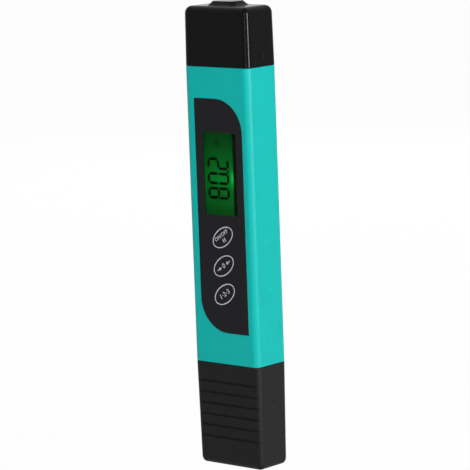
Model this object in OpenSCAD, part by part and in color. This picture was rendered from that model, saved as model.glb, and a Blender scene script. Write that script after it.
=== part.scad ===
// Pen meter for dissolved solids in water, standing on its protective cap.
// +Z runs up the pen, the display faces -Y, and the origin is the middle of the foot.
// A drafted cap pushes onto a neck at each end of a one-piece housing tube: the lower
// neck is the head that carries the electrodes, the upper one holds the two button cells.

/* [Housing] */
// Width of the housing tube
body_w = 27.8; // [23:0.1:32]
// Depth of the housing tube, front to back
body_d = 15.2; // [13:0.1:18]
// Length of the coloured tube between the two caps
body_len = 99.1; // [85:0.1:120]
// Radius of the long corners
corner_r = 2.3; // [1.9:0.1:3]
// Wall of the tube
body_wall = 1.8; // [1.7:0.05:2]
// Width of the line that shows between the tube and a cap
seam_gap = 0.1; // [0.05:0.05:0.3]

/* [Grip pips] */
// Pips down each narrow side
pip_count = 6; // [1:1:6]
// Distance from pip to pip
pip_pitch = 16.2; // [12:0.1:19]
// Diameter of a pip
pip_d = 1.1; // [0.6:0.1:2]
// How far a pip stands proud
pip_h = 0.2; // [0.1:0.05:0.4]

/* [Label] */
// Distance from the label film to the tube's sides, on average
label_margin = 4.05; // [2.9:0.05:5]
// Sideways offset of the label's middle
label_x = 0.4; // [-0.5:0.1:0.8]
// Height of the label's lower edge above the tube's lower end
label_rise = 10.7; // [8:0.1:14]
// Depth of its upper edge below the tube's upper end
label_drop = 10.65; // [8:0.05:14]
// Radius of its two rounded corners, upper right and lower left
label_round = 11.6; // [6:0.1:12]
// Thickness of the film
label_t = 0.3; // [0.2:0.05:0.5]
// Depth of the recess that it is stuck into
label_recess = 0.25; // [0.15:0.05:0.35]
// Gap round the film in its recess
label_gap = 0.1; // [0.05:0.05:0.2]

/* [Window] */
// Distance from the window to the label's left edge
window_left = 3.2; // [2.5:0.05:5]
// Distance from the window to the label's right edge
window_right = 3.1; // [2.5:0.05:5]
// Distance from the window to the label's upper edge
window_drop = 10.65; // [6:0.05:14]
// Distance from the middle of the highest key up to the window
window_gap = 7.32; // [6.5:0.02:10]
// How far the lens reaches past the window, under the film
lens_lap = 1.6; // [1.2:0.1:1.8]
// Thickness of the lens
lens_t = 0.9; // [0.7:0.05:1]
// Width of the ledge in the tube that the lens is bonded to
lens_ledge = 0.7; // [0.4:0.1:0.9]
// Gap round the lens in its pocket
lens_gap = 0.1; // [0.05:0.05:0.2]

/* [Keys] */
// Length of an oval key
key_long = 10.1; // [8:0.1:10.4]
// Width of an oval key
key_short = 6.2; // [5:0.1:6.5]
// Tilt of the ovals, right end up
key_tilt = 34.2; // [0:0.1:36]
// Distance from key to key
key_pitch = 9.54; // [8:0.02:12]
// Height of the lowest key's middle above the label's lower edge
key_rise = 13; // [8:0.1:16]
// Sideways offset of the keys
key_x = 0.75; // [0:0.05:1]
// Gap round each key
key_gap = 0.1; // [0.05:0.05:0.15]
// Height of a key's face over the label's face
key_proud = 0.05; // [0:0.05:0.2]
// How far a key goes in
key_travel = 0.25; // [0.15:0.05:0.4]
// Width of the flange that keeps a key behind the wall
key_flange = 0.45; // [0.3:0.05:0.5]
// Thickness of that flange
key_flange_t = 0.6; // [0.4:0.1:0.7]

/* [Switches] */
// Side of a switch's square body
switch_w = 4.5; // [4:0.1:5.2]
// Height of a switch's body on the board
switch_h = 1.5; // [1.2:0.1:1.6]
// Diameter of a switch's stem
stem_d = 2.2; // [1.6:0.1:2.6]
// Gap round the stem in the switch's body
stem_gap = 0.05; // [0.03:0.01:0.08]
// Depth of the stem inside the body
stem_inset = 0.5; // [0.3:0.05:0.6]

/* [Circuit board] */
// Thickness of the circuit board
board_t = 1; // [0.8:0.1:1.2]
// Gap from the probe head's plug up to the board
board_gap_low = 2; // [1:0.1:4]
// Gap from the board up to the battery holder's plug
board_gap_high = 2; // [1:0.1:4]
// Gap between the board's edge and the tube's side wall
board_side_gap = 0.55; // [0.4:0.05:0.7]
// Thickness of a guide rib inside the tube
rib_t = 0.8; // [0.6:0.1:1]
// How far a guide rib stands into the tube
rib_h = 1.05; // [0.95:0.05:1.2]
// Running gap between a rib and what it guides
rib_gap = 0.05; // [0.03:0.01:0.1]

/* [Display] */
// Thickness of each of the display's two glass sheets
glass_t = 1; // [0.8:0.02:1.3]
// How far the glass reaches below the window
glass_below = 1.7; // [1.4:0.05:2.4]
// How far the glass reaches above the window
glass_above = 2.4; // [1.8:0.05:3]
// How far the glass reaches past the window at the left
glass_past = 3.05; // [2.4:0.05:3.4]
// How far the glass stops short of the window at the right, where the lamp sits
glass_short = 1.4; // [1:0.05:2]
// Width of the contact ledge along the left edge
glass_ledge = 1; // [0.8:0.05:1.1]
// Wall of the frame round the glass
frame_wall = 0.9; // [0.7:0.05:0.95]
// Thickness of the frame's front lip
frame_lip_t = 0.5; // [0.4:0.05:0.55]
// How far the lip covers the glass at the left and the ends
frame_lip = 1.1; // [0.9:0.05:1.2]
// How far the lip covers the glass at the right
frame_lip_right = 1.1; // [0.8:0.05:1.3]
// Room to the right of the glass for the lamp
lamp_bay = 1.9; // [1.6:0.1:2]
// Length of the frame's screw tab above the glass
frame_tab = 3.8; // [3.4:0.1:4.5]
// Thickness of the light guide
guide_t = 0.95; // [0.8:0.05:1.2]
// Room between the light guide and the board
guide_room = 0.21; // [0.1:0.01:0.4]
// Height of the lamp's middle above the window's lower edge
lamp_rise = 12.6; // [4:0.1:20]

/* [Screws] */
// Diameter of a frame screw's shank
screw_d = 1.4; // [1.2:0.1:1.6]
// Diameter of its head
screw_head_d = 2.6; // [2.2:0.1:3]
// Height of its head
screw_head_h = 0.8; // [0.6:0.1:1]

/* [Battery] */
// Diameter of a button cell
cell_d = 11.6; // [10:0.1:12]
// Thickness of the floor under the cells
well_floor = 1.3; // [1:0.1:2]
// Height of the holder's arms above the tube
holder_rise = 11.3; // [9:0.1:12]
// Length of the holder's plug inside the tube
holder_plug = 7.7; // [6:0.1:8]
// Width of a contact strip
contact_w = 4; // [3:0.1:5]
// Thickness of a contact strip
contact_t = 0.25; // [0.2:0.05:0.35]
// Gap between a contact strip and the inside of the tube
contact_gap = 0.08; // [0.06:0.01:0.15]

/* [Caps] */
// Wall of both caps at the mouth
cap_wall = 1.3; // [1.2:0.05:1.4]
// Gap between a cap and the neck that it pushes onto
cap_fit = 0.1; // [0.05:0.01:0.15]

/* [Battery cap] */
// Length of the battery cap without its boss
top_cap_len = 19.7; // [16:0.1:24]
// How much each of its sides leans in over its length
top_cap_draft = 0.25; // [0.1:0.05:0.6]
// Radius of its upper edge
top_cap_round = 2.5; // [1.5:0.1:2.7]
// Thickness of its roof
top_cap_roof = 1.6; // [1.2:0.1:1.8]
// Height of the flared boss on the roof
boss_h = 1.5; // [1:0.1:3]
// Width of the boss at its foot
boss_base_w = 12.8; // [10:0.1:16]
// Depth of the boss at its foot
boss_base_d = 9.6; // [7:0.1:10]
// How far the flare draws in to the boss's top, on each side
boss_flare = 2.3; // [1:0.1:3]

/* [Protective cap] */
// Length of the protective cap
foot_cap_len = 34.8; // [33:0.1:42]
// How much each of its sides leans in over its length
foot_cap_draft = 0.55; // [0.2:0.05:0.6]
// Thickness of its floor
foot_cap_floor = 1.6; // [1.2:0.1:2.5]
// Radius of its lower edge
foot_cap_round = 1.8; // [0.6:0.1:2.4]
// Grip ribs on its front and on its back
grip_count = 6; // [1:1:6]
// Distance from rib to rib
grip_pitch = 3.77; // [2.5:0.01:4]
// Distance from the cap's mouth to the first rib
grip_drop = 6.4; // [5:0.1:8]
// Height of a grip rib
grip_h = 0.55; // [0.4:0.05:1]
// How far a grip rib stands proud
grip_proud = 0.25; // [0.15:0.05:0.4]
// Distance from the cap's mouth to the pip on each narrow side
cap_pip_drop = 14.5; // [8:0.1:20]

/* [Probe] */
// Length of the neck that the protective cap pushes onto
neck_len = 9; // [7:0.1:10]
// Length of the head's plug inside the tube
head_plug = 9.4; // [8:0.1:9.5]
// How far the head's nose steps in from the neck on each narrow side
nose_step_w = 2.95; // [2:0.05:5]
// How far it steps in at the front and the back
nose_step_d = 1.85; // [1.2:0.05:2.5]
// Length of the nose
nose_len = 5; // [3:0.1:6]
// Diameter of an electrode
pin_d = 2.4; // [1.6:0.1:3]
// Distance between the two electrodes
pin_spacing = 9; // [8:0.1:10]
// How far the electrodes stand out of the nose
pin_reach = 7.5; // [4:0.1:9]
// Diameter of the temperature sensor's sheath
sheath_d = 2.6; // [2:0.1:3]
// How far the sheath stands out of the nose
sheath_reach = 4.5; // [2:0.1:8]
// Depth of the sealing compound in the head
seal_depth = 5; // [3:0.1:6]
// Diameter of a probe lead over its insulation
lead_d = 0.9; // [0.6:0.1:1.1]

/* [Hidden] */

$fn = 48;
// Overshoot of a cutting shape past the face that it cuts
cut = 0.05;
// Bonded or soldered pieces, and pieces that rest on each other, keep this gap
seat = 0.02;
// Straight steps in a quarter turn of a lofted corner
corner_steps = 8;

// Heights up the pen; the keys are set from the label's lower edge, and the window fills the rest
body_z0 = foot_cap_len + seam_gap;
body_z1 = body_z0 + body_len;
top_cap_z0 = body_z1 + seam_gap;
top_cap_z1 = top_cap_z0 + top_cap_len;
label_z0 = body_z0 + label_rise;
label_z1 = body_z1 - label_drop;
key_z = [for (k = [0:2]) label_z0 + key_rise + k * key_pitch];
window_z0 = key_z[2] + window_gap;
window_z1 = label_z1 - window_drop;

// Across the front, the label follows the tube and the window follows the label
label_x0 = label_x - body_w / 2 + label_margin;
label_x1 = label_x + body_w / 2 - label_margin;
window_x0 = label_x0 + window_left;
window_x1 = label_x1 - window_right;

// Depths from front to back
front_y = -body_d / 2;
inner_front_y = front_y + body_wall;
label_floor_y = front_y + label_recess;
label_face_y = label_floor_y - label_t;

// Bore of the tube, and the plugs that close it between the guide ribs
bore_w = body_w - 2 * body_wall;
bore_d = body_d - 2 * body_wall;
bore_r = max(0.3, corner_r - body_wall);
plug_fit = 0.05;
plug_w = bore_w - 2 * rib_h - 2 * plug_fit;
plug_d = bore_d - 2 * plug_fit;
plug_r = 1;
plug_wall = 1.5;
rib_tip_x = bore_w / 2 - rib_h;

// Necks that the caps push onto, and the sockets in the caps
neck_w = body_w - 2 * (cap_wall + cap_fit);
neck_d = body_d - 2 * (cap_wall + cap_fit);
neck_r = max(0.4, corner_r - cap_wall);
socket_w = neck_w + 2 * cap_fit;
socket_d = neck_d + 2 * cap_fit;
socket_spare = 0.5;

// Lens in its pocket
lens_r = 1;
lens_back_y = label_floor_y + lens_t;

// Display stack, front to back: frame lip, two glass sheets, light guide, board
frame_gap = 0.05;
frame_y0 = inner_front_y + frame_gap;
glass_y0 = frame_y0 + frame_lip_t + seat;
glass_y1 = glass_y0 + 2 * glass_t;
guide_y0 = glass_y1 + seat;
board_y0 = guide_y0 + guide_t + guide_room;
board_y1 = board_y0 + board_t;
frame_y1 = board_y0 - seat;
glass_left = window_x0 - glass_past;
glass_right = window_x1 - glass_short;
glass_z0 = window_z0 - glass_below;
glass_z1 = window_z1 + glass_above;
frame_x0 = glass_left - frame_gap - frame_wall;
frame_x1 = glass_right + frame_gap + lamp_bay + frame_wall;
frame_z0 = glass_z0 - frame_gap - frame_wall;
frame_z1 = glass_z1 + frame_gap + frame_tab;
screw_inset = 3;
screw_x = [frame_x0 + screw_inset, frame_x1 - screw_inset];
screw_z = frame_z1 - frame_tab / 2 + 0.1;
screw_bite = 2.4;
leg_w = 2;
leg_t = 0.7;
leg_inset = 4;
leg_x = [frame_x0 + leg_inset, glass_right - leg_inset];
leg_gap = 0.1;
hook_out = 0.5;
hook_t = 0.5;
lamp_gap = 0.1;
lamp_x0 = glass_right + lamp_gap;
lamp_w = 1.1;
lamp_len = 3;
lamp_z = window_z0 + lamp_rise;

// Keys, stems and switches, from the film's face to the board
key_face_y = label_face_y - key_proud;
key_flange_y = inner_front_y + seat;
key_boss_h = 0.4;
stem_tip_y = key_flange_y + key_flange_t + key_boss_h;
switch_face_y = board_y0 - switch_h;
stem_foot_y = switch_face_y + stem_inset;
stem_room = 0.15;

// Circuit board, between the two plugs
board_z0 = body_z0 + head_plug + board_gap_low;
board_z1 = body_z1 - holder_plug - board_gap_high;
board_w = bore_w - 2 * board_side_gap;

// The two cells fill the depth between their contact strips
contact_y = bore_d / 2 - contact_gap - contact_t;
cell_t = contact_y - seat;
well_gap = 0.15;
cell_z = body_z1 + well_floor + well_gap + cell_d / 2;
contact_rise = 3.15;
contact_top = cell_z + contact_rise;
contact_lap = 2.5;
contact_foot_z = board_z1 - contact_lap;
contact_slot_gap = 0.1;
roof_step_w = 1.5;
roof_step_d = 0.35;
roof_hollow_w = socket_w - 2 * roof_step_w;
roof_hollow_d = socket_d - 2 * roof_step_d;

// Protective cap and probe
nose_w = neck_w - 2 * nose_step_w;
nose_d = neck_d - 2 * nose_step_d;
nose_z1 = body_z0 - neck_len;
nose_z0 = nose_z1 - nose_len;
pin_z0 = nose_z0 - pin_reach;
sheath_z0 = nose_z0 - sheath_reach;
pin_rise = 0.6;
pin_z1 = body_z0 + head_plug + pin_rise;
seal_z0 = body_z0 + head_plug - seal_depth;
seal_w = plug_w - 2 * plug_wall;
seal_d = plug_d - 2 * plug_wall;
foot_step = 1.1;
foot_hollow_w = socket_w - 2 * foot_step;
foot_hollow_d = socket_d - 2 * foot_step;

// Points of an arc, anticlockwise from angle a0 to a1
function arc(cx, cy, r, a0, a1, steps) =
    [for (k = [0:steps]) let (a = a0 + (a1 - a0) * k / steps) [cx + r * cos(a), cy + r * sin(a)]];

// Outline of a rounded rectangle about the origin
function rounded_outline(w, d, r) = concat(
    arc(w / 2 - r, d / 2 - r, r, 0, 90, corner_steps),
    arc(r - w / 2, d / 2 - r, r, 90, 180, corner_steps),
    arc(r - w / 2, r - d / 2, r, 180, 270, corner_steps),
    arc(w / 2 - r, r - d / 2, r, 270, 360, corner_steps));

// Outline of the label: sharp upper left and lower right, the other two corners round
function label_outline(grow) =
    let (
        x0 = label_x0 - grow,
        x1 = label_x1 + grow,
        z0 = label_z0 - grow,
        z1 = label_z1 + grow,
        r = label_round + grow
    )
    concat([[x1, z0]], arc(x1 - r, z1 - r, r, 0, 90, 24), [[x0, z1]], arc(x0 + r, z0 + r, r, 180, 270, 24));

// Outline of an oval key, tilted
function key_outline(z, grow) =
    [for (k = [0:47])
        let (
            u = (key_long / 2 + grow) * cos(k * 7.5),
            v = (key_short / 2 + grow) * sin(k * 7.5)
        )
        [key_x + u * cos(key_tilt) - v * sin(key_tilt), z + u * sin(key_tilt) + v * cos(key_tilt)]];

// Flat rounded rectangle with true arcs
module rounded_rect(w, d, r) {
    square([w - 2 * r, d], center = true);
    square([w, d - 2 * r], center = true);
    for (x = [-1, 1], y = [-1, 1])
        translate([x * (w / 2 - r), y * (d / 2 - r)]) circle(r);
}

// Upright block with rounded long corners, between two heights
module column(w, d, r, z0, z1) {
    translate([0, 0, z0]) linear_extrude(z1 - z0) rounded_rect(w, d, r);
}

// Solid from an outline drawn as seen from the front, between two depths
module slab(y0, y1) {
    translate([0, y1, 0]) rotate([90, 0, 0]) linear_extrude(y1 - y0) children();
}

// Window's outline, grown all round
module window_shape(grow, r) {
    translate([(window_x0 + window_x1) / 2, (window_z0 + window_z1) / 2])
        rounded_rect(window_x1 - window_x0 + 2 * grow, window_z1 - window_z0 + 2 * grow, r);
}

// Box given by its two corners
module block(low, high) {
    translate(low) cube(high - low);
}

// Round bar along the depth, between two depths
module bar(x, z, d, y0, y1) {
    translate([x, y1, z]) rotate([90, 0, 0]) cylinder(d = d, h = y1 - y0);
}

// Skin over a stack of outlines that all have the same number of points
module loft(heights, outlines) {
    n = len(outlines[0]);
    last = len(heights) - 1;
    points = [for (k = [0:last]) for (p = outlines[k]) [p[0], p[1], heights[k]]];
    sides = [for (k = [0:last - 1]) for (i = [0:n - 1])
        let (j = (i + 1) % n)
        [k * n + i, (k + 1) * n + i, (k + 1) * n + j, k * n + j]];
    foot = [for (i = [0:n - 1]) i];
    head = [for (i = [n - 1:-1:0]) last * n + i];
    polyhedron(points, concat([foot], sides, [head]));
}

// Outline of a cap where its sides have come in by a given amount
function cap_outline(inset) =
    rounded_outline(body_w - 2 * inset, body_d - 2 * inset, max(0.5, corner_r - inset));

// Low dome on a side face at a given half width; side is -1 or 1
module pip(side, half_w, z) {
    ball_r = (pip_d * pip_d / 4 + pip_h * pip_h) / (2 * pip_h);
    translate([side * (half_w + pip_h - ball_r), 0, z]) sphere(ball_r);
}

// One-piece tube with guide ribs inside and all the openings of its front wall
module housing() {
    pip_z0 = body_z0 + body_len / 2 - pip_pitch * (pip_count - 1) / 2;
    color("#1fa79e")
    difference() {
        union() {
            difference() {
                column(body_w, body_d, corner_r, body_z0, body_z1);
                column(bore_w, bore_d, bore_r, body_z0 - cut, body_z1 + cut);
            }
            for (side = [-1, 1]) {
                guide_rib(side, board_y0 - rib_gap - rib_t);
                guide_rib(side, board_y1 + rib_gap);
                for (k = [0:pip_count - 1])
                    pip(side, body_w / 2, pip_z0 + k * pip_pitch);
            }
        }
        slab(front_y - cut, label_floor_y) polygon(label_outline(label_gap));
        slab(front_y - cut, lens_back_y + seat) window_shape(lens_lap + lens_gap, lens_r);
        slab(lens_back_y, inner_front_y + cut) window_shape(lens_lap - lens_ledge, lens_r / 2);
        for (z = key_z)
            slab(front_y - cut, inner_front_y + cut) polygon(key_outline(z, key_gap));
    }
}

// Rib along a side wall of the tube, one of the pair that the board slides between
module guide_rib(side, y) {
    x_wall = side * (bore_w / 2 + cut);
    x_tip = side * rib_tip_x;
    block([min(x_wall, x_tip), y, body_z0], [max(x_wall, x_tip), y + rib_t, body_z1]);
}

// Printed film with the window and the three key openings
module label_overlay() {
    color("#232326")
    difference() {
        slab(label_face_y, label_floor_y - seat) polygon(label_outline(0));
        slab(label_face_y - cut, label_floor_y + cut) window_shape(0, 0.3);
        for (z = key_z)
            slab(label_face_y - cut, label_floor_y + cut) polygon(key_outline(z, key_gap));
    }
}

// Clear lens bonded on the ledge of its pocket
module window_lens() {
    color("#cfe8dc", 0.35)
    slab(label_floor_y, lens_back_y) window_shape(lens_lap, lens_r - lens_gap);
}

// Oval key with a flange behind the wall and a boss that bears on the switch's stem
module key(z) {
    color("#2a2a2d")
    union() {
        slab(key_face_y, key_flange_y + cut) polygon(key_outline(z, 0));
        slab(key_flange_y, key_flange_y + key_flange_t) polygon(key_outline(z, key_flange));
        bar(key_x, z, stem_d + 1, key_flange_y + cut, stem_tip_y - seat);
    }
}

module key_mode() { key(key_z[0]); }
module key_clear() { key(key_z[1]); }
module key_power() { key(key_z[2]); }

// Stem of a switch, which the key pushes into the switch's body
module stem(z) {
    color("#e8e4d8")
    bar(key_x, z, stem_d, stem_tip_y, stem_foot_y);
}

module stem_mode() { stem(key_z[0]); }
module stem_clear() { stem(key_z[1]); }
module stem_power() { stem(key_z[2]); }

// Bodies of the three push switches, with their solder legs
module switch_bodies() {
    pad_out = 0.7;
    pad_w = 0.7;
    pad_t = 0.25;
    pad_pitch = 3;
    half = switch_w / 2;
    foot_y = board_y0 - seat;
    for (z = key_z)
        color("#303030")
        difference() {
            union() {
                block([key_x - half, switch_face_y, z - half], [key_x + half, foot_y, z + half]);
                for (pad_z = [z - pad_pitch / 2, z + pad_pitch / 2])
                    block([key_x - half - pad_out, foot_y - pad_t, pad_z - pad_w / 2],
                          [key_x + half + pad_out, foot_y, pad_z + pad_w / 2]);
            }
            bar(key_x, z, stem_d + 2 * stem_gap, switch_face_y - cut, stem_foot_y + key_travel + stem_room);
        }
}

// Board with the screw holes, the slots for the frame's legs and two cut lower corners
module circuit_board() {
    corner_cut = 2;
    color("#1d6b3c")
    difference() {
        slab(board_y0, board_y1)
            polygon([
                [-board_w / 2 + corner_cut, board_z0], [board_w / 2 - corner_cut, board_z0],
                [board_w / 2, board_z0 + corner_cut], [board_w / 2, board_z1],
                [-board_w / 2, board_z1], [-board_w / 2, board_z0 + corner_cut]
            ]);
        for (x = screw_x)
            bar(x, screw_z, screw_d + 2 * leg_gap, board_y0 - cut, board_y1 + cut);
        for (x = leg_x)
            block([x - leg_w / 2 - leg_gap, board_y0 - cut, frame_z0 - hook_out - leg_gap],
                  [x + leg_w / 2 + leg_gap, board_y1 + cut, frame_z0 + leg_t + leg_gap]);
    }
}

// Drop of compound over the chip, on the back of the board
module chip_cover() {
    drop_r = 4.2;
    drop_h = 1.3;
    ball_r = (drop_r * drop_r + drop_h * drop_h) / (2 * drop_h);
    color("#17171a")
    translate([0, board_y1 + seat, (glass_z0 + glass_z1) / 2])
        rotate([-90, 0, 0])
            intersection() {
                translate([0, 0, drop_h - ball_r]) sphere(ball_r, $fn = 64);
                cylinder(r = drop_r + 1, h = drop_h + 1);
            }
}

// Metal can of the timing crystal, lying on the back of the board
module crystal() {
    can_d = 2;
    can_len = 6;
    inset = 3.5;
    rise = 6;
    color("#c4c6c8")
    translate([rib_tip_x - inset, board_y1 + seat + can_d / 2, glass_z0 + rise])
        cylinder(d = can_d, h = can_len);
}

// Small resistors and capacitors on the back of the board
module board_parts() {
    part_w = 1.6;
    part_h = 0.6;
    part_len = 0.85;
    column_pitch = 3.6;
    row_pitch = 2.6;
    drop = 14;
    for (column = [-1:1], row = [0:3]) {
        x = column * column_pitch;
        z = glass_z0 - drop + row * row_pitch;
        color("#b9a684")
        block([x - part_w / 2, board_y1 + seat, z], [x + part_w / 2, board_y1 + seat + part_h, z + part_len]);
    }
}

// Frame that holds the glass and the light guide on the board
module display_frame() {
    color("#141416")
    difference() {
        union() {
            block([frame_x0, frame_y0, frame_z0], [frame_x1, frame_y1, frame_z1]);
            for (x = leg_x) {
                block([x - leg_w / 2, frame_y1 - cut, frame_z0],
                      [x + leg_w / 2, board_y1 + hook_t + seat, frame_z0 + leg_t]);
                block([x - leg_w / 2, board_y1 + seat, frame_z0 - 2 * hook_out],
                      [x + leg_w / 2, board_y1 + hook_t + seat, frame_z0 + cut]);
            }
        }
        block([glass_left + frame_lip, frame_y0 - cut, glass_z0 + frame_lip],
              [glass_right - frame_lip_right, glass_y0 + cut, glass_z1 - 2 * frame_lip]);
        block([glass_left - frame_gap, glass_y0 - seat, glass_z0 - frame_gap],
              [glass_right + frame_gap, guide_y0 + cut, glass_z1 + frame_gap]);
        block([glass_left - frame_gap, guide_y0 - seat, glass_z0 - frame_gap],
              [glass_right + lamp_bay, frame_y1 + cut, glass_z1 + frame_gap]);
        for (x = screw_x)
            bar(x, screw_z, screw_d + 2 * seat, frame_y1 - screw_bite, frame_y1 + cut);
    }
}

// Two screws through the board into the frame's tab
module frame_screws() {
    color("#8f9194")
    for (x = screw_x)
        difference() {
            union() {
                bar(x, screw_z, screw_d, frame_y1 - screw_bite + seat, board_y1 + seat + cut);
                bar(x, screw_z, screw_head_d, board_y1 + seat, board_y1 + seat + screw_head_h);
            }
            slot_w = 0.35;
            slot_len = screw_head_d * 0.72;
            slot_y = board_y1 + seat + screw_head_h - slot_w;
            for (size = [[slot_len, slot_w], [slot_w, slot_len]])
                block([x - size[0] / 2, slot_y, screw_z - size[1] / 2],
                      [x + size[0] / 2, slot_y + 1, screw_z + size[1] / 2]);
        }
}

// Two sheets of glass, the front one wider so that its left edge can be contacted
module display_glass() {
    color("#8fb08a", 0.8)
    union() {
        block([glass_left, glass_y0, glass_z0], [glass_right, glass_y0 + glass_t, glass_z1]);
        block([glass_left + glass_ledge, glass_y0 + glass_t - cut, glass_z0],
              [glass_right, glass_y1, glass_z1]);
    }
}

// Striped rubber strip that joins the glass's contacts to the board
module contact_rubber() {
    strip_gap = 0.1;
    end_gap = 1;
    color("#d98fa0")
    block([glass_left + strip_gap, glass_y0 + glass_t + seat, glass_z0 + end_gap],
          [glass_left + glass_ledge - strip_gap, board_y0 - seat, glass_z1 - end_gap]);
}

// Clear plate that spreads the lamp's light behind the glass
module light_guide() {
    side_gap = 0.2;
    end_gap = 0.6;
    color("#dff3e2", 0.6)
    block([glass_left + glass_ledge + side_gap, guide_y0, glass_z0 + end_gap],
          [lamp_x0 - seat, guide_y0 + guide_t, glass_z1 - end_gap]);
}

// Side-firing lamp at the right edge of the light guide
module backlight_lamp() {
    color("#e9f6d8")
    block([lamp_x0, guide_y0 + seat, lamp_z - lamp_len / 2],
          [lamp_x0 + lamp_w, board_y0 - seat, lamp_z + lamp_len / 2]);
}

// Plug, neck and cradle in one moulding; the cells drop in from above
module battery_holder() {
    slot_w = contact_w + 2 * contact_slot_gap;
    well_r = cell_d / 2 + well_gap;
    color("#1c1c1e")
    difference() {
        union() {
            column(plug_w, plug_d, plug_r, body_z1 - holder_plug, body_z1 + cut);
            column(neck_w, neck_d, neck_r, body_z1 + seat, body_z1 + holder_rise);
        }
        column(plug_w - 2 * plug_wall, plug_d - 2 * plug_wall, plug_r / 2,
               body_z1 - holder_plug - cut, body_z1 - 1);
        bar(0, cell_z, 2 * well_r, -neck_d, neck_d);
        block([-well_r, -neck_d, cell_z], [well_r, neck_d, body_z1 + holder_rise + cut]);
        for (side = [-1, 1]) {
            y = side * (contact_y + contact_t / 2);
            half = contact_t / 2 + contact_slot_gap / 2;
            block([-slot_w / 2, y - half, body_z1 - holder_plug - cut], [slot_w / 2, y + half, cell_z]);
        }
    }
}

// Contact strip that runs down past the holder and turns in to the board; side is -1 or 1
module contact(side, y_board) {
    y0 = side < 0 ? -contact_y - contact_t : contact_y;
    y1 = y0 + contact_t;
    half = contact_w / 2;
    block([-half, y0, contact_foot_z], [half, y1, contact_top]);
    block([-half, min(y0, y_board), contact_foot_z], [half, max(y1, y_board), contact_foot_z + contact_t]);
}

module contact_front() { color("#c9b178") contact(-1, board_y0 - seat); }
module contact_rear() { color("#c9b178") contact(1, board_y1 + seat); }

// Button cell: a can with a rounded rim and a smaller cap at its negative, front face
module cell(y0) {
    lid_h = 0.6;
    lid_r = cell_d / 2 - 1.4;
    rim = 0.5;
    rim_x = cell_d / 2 - rim;
    color("#c8cacc")
    translate([0, y0, cell_z])
        rotate([-90, 0, 0])
            rotate_extrude()
                polygon(concat(
                    [[0, 0], [lid_r, 0], [lid_r, lid_h]],
                    arc(rim_x, lid_h + rim, rim, 270, 360, 6),
                    arc(rim_x, cell_t - rim, rim, 0, 90, 6),
                    [[0, cell_t]]));
}

module cell_front() { cell(-cell_t - seat / 4); }
module cell_rear() { cell(seat / 4); }

// Drafted cap with a rounded roof and a flared boss on it
module battery_cap() {
    straight = top_cap_len - top_cap_round;
    rise = [for (k = [0:6]) top_cap_round * sin(15 * k)];
    sink = [for (k = [0:6]) top_cap_round * (1 - cos(15 * k))];
    heights = concat([top_cap_z0], [for (k = rise) top_cap_z0 + straight + k]);
    boss_heights = [for (k = [0:6]) top_cap_z1 + boss_h * (1 - cos(15 * k))];
    boss_insets = [for (k = [0:6]) boss_flare * sin(15 * k)];
    insets = concat([0], [for (k = [0:6]) top_cap_draft + sink[k]]);
    boss_sink = 0.3;
    boss_r = 2.6;
    color("#1b1b1d")
    difference() {
        union() {
            loft(heights, [for (inset = insets) cap_outline(inset)]);
            loft(
                concat([top_cap_z1 - boss_sink], boss_heights),
                [for (inset = concat([0], boss_insets)) boss_outline(inset, boss_r)]);
        }
        column(socket_w, socket_d, neck_r + cap_fit, top_cap_z0 - cut, body_z1 + holder_rise + socket_spare);
        column(roof_hollow_w, roof_hollow_d, 1.5, top_cap_z0, top_cap_z1 - top_cap_roof);
    }
}

// Outline of the boss where its flare has come in by a given amount
function boss_outline(inset, r) =
    rounded_outline(boss_base_w - 2 * inset, boss_base_d - 2 * inset, max(0.6, r - inset * 0.4));

// Moulded head: plug in the tube, neck for the cap, and a nose round the electrodes
module probe_head() {
    color("#1f1f21")
    difference() {
        union() {
            column(plug_w, plug_d, plug_r, body_z0 - cut, body_z0 + head_plug);
            column(neck_w, neck_d, neck_r, nose_z1, body_z0 - seat);
            column(nose_w, nose_d, 2, nose_z0, nose_z1 + cut);
        }
        column(seal_w, seal_d, plug_r / 2, seal_z0, body_z0 + head_plug + cut);
        pin_holes(nose_z0 - cut);
    }
}

// Holes for the two electrodes and the sheath, from a height up to the pins' tops
module pin_holes(z0) {
    for (hole = [[-pin_spacing / 2, pin_d], [0, sheath_d], [pin_spacing / 2, pin_d]])
        translate([hole[0], 0, z0]) cylinder(d = hole[1] + 2 * seat, h = pin_z1 - z0);
}

// Round pin with a domed tip, from its lowest point up
module pin(x, d, z0, z1) {
    translate([x, 0, z0 + d / 2]) cylinder(d = d, h = z1 - z0 - d / 2);
    translate([x, 0, z0 + d / 2]) sphere(d = d);
}

module electrode_left() { color("#a9a59f") pin(-pin_spacing / 2, pin_d, pin_z0, pin_z1); }
module electrode_right() { color("#a9a59f") pin(pin_spacing / 2, pin_d, pin_z0, pin_z1); }
module sensor_sheath() { color("#c2c4c6") pin(0, sheath_d, sheath_z0, pin_z1); }

// Compound poured round the pins to keep water out of the tube
module head_seal() {
    seal_drop = 0.3;
    color("#3a3633")
    difference() {
        column(seal_w - 2 * seat, seal_d - 2 * seat, plug_r / 2,
               seal_z0 + seat, body_z0 + head_plug - seal_drop);
        pin_holes(seal_z0);
    }
}

// Insulated wires from the tops of the three pins to the back of the board
module probe_leads() {
    color("#b23a32")
    for (side = [-1, 0, 1])
        lead(side * pin_spacing / 2);
}

// One wire, swept along a smooth step from a pin's top to the board's back
module lead(x) {
    steps = 10;
    sides = 10;
    lap = 6;
    z0 = pin_z1 + seat;
    z1 = board_z0 + lap;
    y_end = board_y1 + seat + lead_d / 2;
    y = [for (k = [0:steps]) y_end * (1 - cos(180 * k / steps)) / 2];
    loft(
        [for (k = [0:steps]) z0 + (z1 - z0) * k / steps],
        [for (k = [0:steps]) [for (s = [0:sides - 1])
            let (a = s * 360 / sides)
            [x + lead_d / 2 * cos(a), y[k] + lead_d / 2 * sin(a)]]]);
}

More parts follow.
